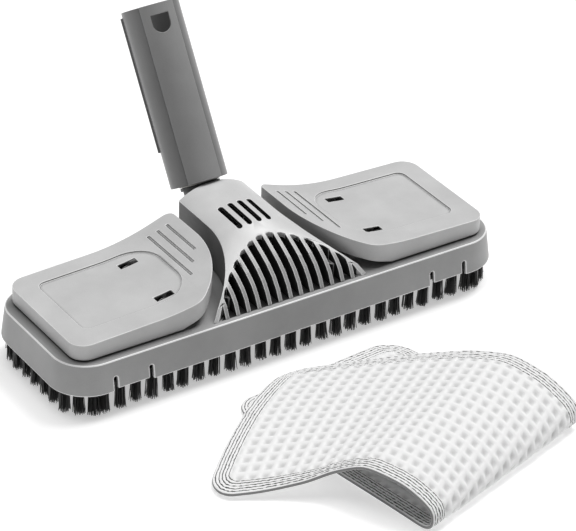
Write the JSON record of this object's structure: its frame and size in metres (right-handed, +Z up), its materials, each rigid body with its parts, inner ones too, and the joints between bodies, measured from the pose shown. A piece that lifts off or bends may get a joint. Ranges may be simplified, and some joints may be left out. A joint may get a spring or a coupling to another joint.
{
  "type": "steam mop floor head",
  "caption": "Bristled floor head of a steam mop with sprung cloth clamps, a vented cover, a tilting and swivelling neck socket, and its folded waffle cloth.",
  "frame": {"origin": "on the floor under the middle of the head, at the end face of the middle tuft of the brush", "axes": "+X along the head, +Y to the rear, where the neck leans, +Z up"},
  "size_m": [0.29, 0.3499, 0.1582],
  "materials": {
    "housing_plastic": "moulded, light spark grain",
    "clamp_plastic": "moulded, fine spark grain",
    "cover_plastic": "moulded, fine spark grain",
    "neck_plastic": "moulded, satin",
    "dark_plastic": "moulded, matte",
    "natural_plastic": "moulded, uncoloured",
    "bristle": "crimped nylon filament",
    "seal_rubber": "silicone rubber",
    "brass": "turned",
    "steel": "zinc plated",
    "waffle_cloth": "waffle-woven microfibre"
  },
  "bodies": {
    "head": {"base_housing": "housing_plastic", "brush_plate": "dark_plastic", "bristles_front": "bristle", "bristles_rear": "bristle", "bristles_left_end": "bristle", "bristles_right_end": "bristle", "bristles_inner": "bristle", "steam_chamber": "natural_plastic", "chamber_gasket": "seal_rubber", "steam_inlet": "brass", "plate_screws": "steel", "vented_cover": "cover_plastic", "cover_screws": "steel", "bearing_cap_left": "dark_plastic", "bearing_cap_right": "dark_plastic", "bearing_cap_screws": "steel", "clamp_pin_left": "steel", "clamp_pin_right": "steel", "clamp_spring_left": "steel", "clamp_spring_right": "steel"},
    "clamp_left": {"clamp_left": "clamp_plastic"},
    "clamp_right": {"clamp_right": "clamp_plastic"},
    "yoke": {"neck_yoke": "dark_plastic", "tilt_axle": "brass", "axle_seals": "seal_rubber", "swivel_ring": "dark_plastic", "swivel_ring_screws": "steel"},
    "neck": {"neck_tube": "neck_plastic", "neck_front_panel": "neck_plastic", "swivel_bush": "natural_plastic", "neck_steam_pipe": "natural_plastic", "pipe_seals": "seal_rubber"},
    "cloth": {"cleaning_cloth": "waffle_cloth"}
  },
  "joints": [
    {"name": "clamp_left_hinge", "type": "hinge", "parent": "head", "child": "clamp_left", "pos_m": [-0.0695, 0, 0.04], "axis": [0, 1, 0], "range_deg": [0, 15], "stiffness_Nm_per_rad": 0.3, "springref_deg": -8.59},
    {"name": "clamp_right_hinge", "type": "hinge", "parent": "head", "child": "clamp_right", "pos_m": [0.0695, 0, 0.04], "axis": [0, -1, 0], "range_deg": [0, 15], "stiffness_Nm_per_rad": 0.3, "springref_deg": -8.59},
    {"name": "neck_tilt", "type": "hinge", "parent": "head", "child": "yoke", "pos_m": [0, 0.033, 0.05], "axis": [-1, 0, 0], "range_deg": [0, 36]},
    {"name": "neck_swivel", "type": "hinge", "parent": "yoke", "child": "neck", "pos_m": [0, 0.0565, 0.06], "axis": [0, 0.5299, 0.848], "range_deg": [-17, 43]},
    {"name": "cloth_lift", "type": "slide", "parent": "head", "child": "cloth", "axis": [0, 0, 1], "range_m": [0, 0.2]}
  ]
}
